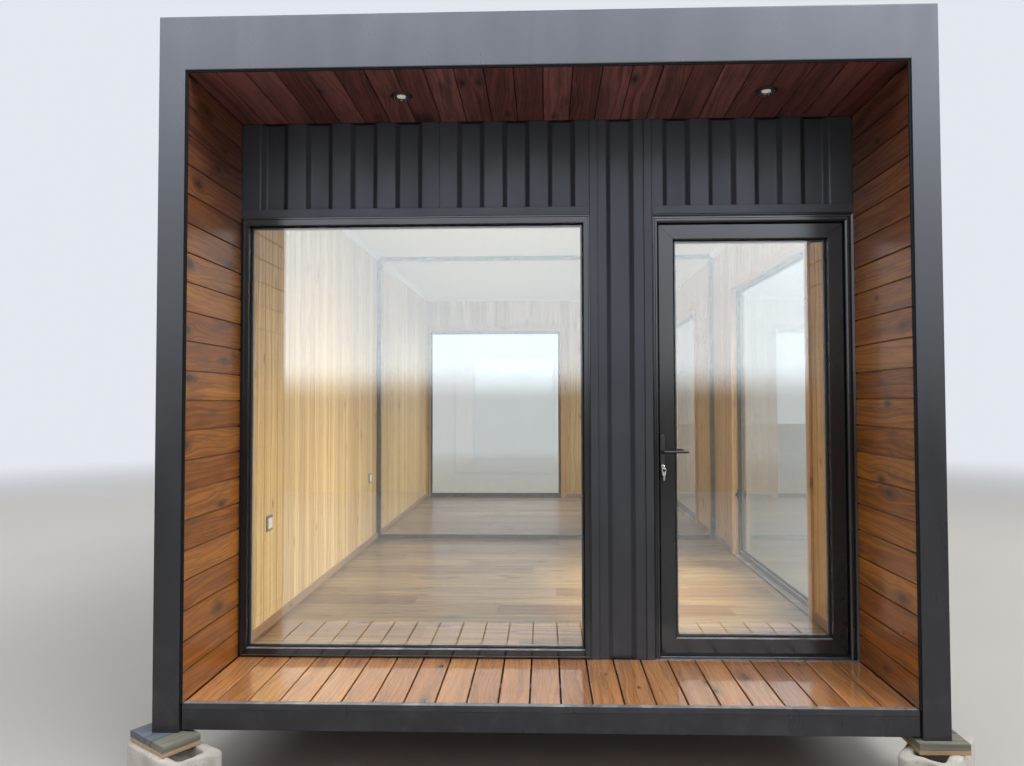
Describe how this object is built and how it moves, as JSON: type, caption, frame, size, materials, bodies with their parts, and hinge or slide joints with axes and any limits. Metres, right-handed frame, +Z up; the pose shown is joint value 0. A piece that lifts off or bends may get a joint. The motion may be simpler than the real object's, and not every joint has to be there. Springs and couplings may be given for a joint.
{
  "type": "shipping container cabin",
  "caption": "Steel framed container cabin with a boarded porch, a glazed front and door, a lined room and ribbed cladding, on hollow blocks.",
  "frame": {"origin": "centre of the bounding box's bottom, on the ground under the middle of the cabin", "axes": "+X to the right as seen from the porch, +Y from the porch into the room, +Z up"},
  "size_m": [3.3074, 6.4548, 2.996],
  "materials": {
    "steel": "satin",
    "roof_sheet": "satin",
    "cladding": "satin",
    "pine_lining": "satin",
    "porch_boards": "satin",
    "deck_boards": "gloss",
    "black_strip": "matte",
    "spotlight_trim": "satin",
    "window_metal": "satin",
    "door_metal": "satin",
    "clear_glass": "gloss",
    "threshold_metal": "satin",
    "handle_black": "satin",
    "lock_plates": "satin",
    "laminate_floor": "satin",
    "white_panel": "matte",
    "socket_white": "satin",
    "concrete": "matte",
    "packer_wood": "matte"
  },
  "bodies": {
    "cabin": {"corner_posts": "steel", "end_beams": "steel", "roof_rails": "steel", "end_sills": "steel", "floor_rails": "steel", "floor_joists": "steel", "front_trims": "steel", "roof_sheet": "roof_sheet", "left_cladding": "cladding", "right_cladding": "cladding", "rear_cladding": "cladding", "front_cladding": "cladding", "left_wall": "pine_lining", "right_wall_piers": "pine_lining", "right_wall_bands": "pine_lining", "rear_wall_piers": "pine_lining", "rear_wall_bands": "pine_lining", "front_wall_piers": "pine_lining", "front_wall_bands": "pine_lining", "porch_wall_left": "porch_boards", "porch_wall_right": "porch_boards", "porch_ceiling": "porch_boards", "porch_deck": "deck_boards", "porch_edge_strips": "black_strip", "spotlights": "spotlight_trim", "front_window_frame": "window_metal", "room_window_frames": "window_metal", "mid_frame_posts": "window_metal", "mid_frame_bars": "window_metal", "door_jambs": "door_metal", "door_head": "door_metal", "frame_hinges": "door_metal", "front_window_glass": "clear_glass", "room_window_glass": "clear_glass", "door_threshold": "threshold_metal", "room_floor": "laminate_floor", "room_ceiling": "white_panel", "socket_plates": "socket_white", "concrete_blocks": "concrete", "timber_packers": "packer_wood"},
    "door": {"door_leaf": "door_metal", "door_glass": "clear_glass", "door_plates": "lock_plates", "leaf_hinges": "door_metal"},
    "levers": {"door_levers": "handle_black"}
  },
  "joints": [
    {"name": "door_hinge", "type": "hinge", "parent": "cabin", "child": "door", "pos_m": [1.359, -2.4235, 1.33], "axis": [0, 0, -1], "range_deg": [0, 85]},
    {"name": "lever_turn", "type": "hinge", "parent": "door", "child": "levers", "pos_m": [0.531, -2.4605, 1.26], "axis": [0, 1, 0], "range_deg": [0, 40], "stiffness_Nm_per_rad": 1.5, "springref_deg": -22.92}
  ]
}
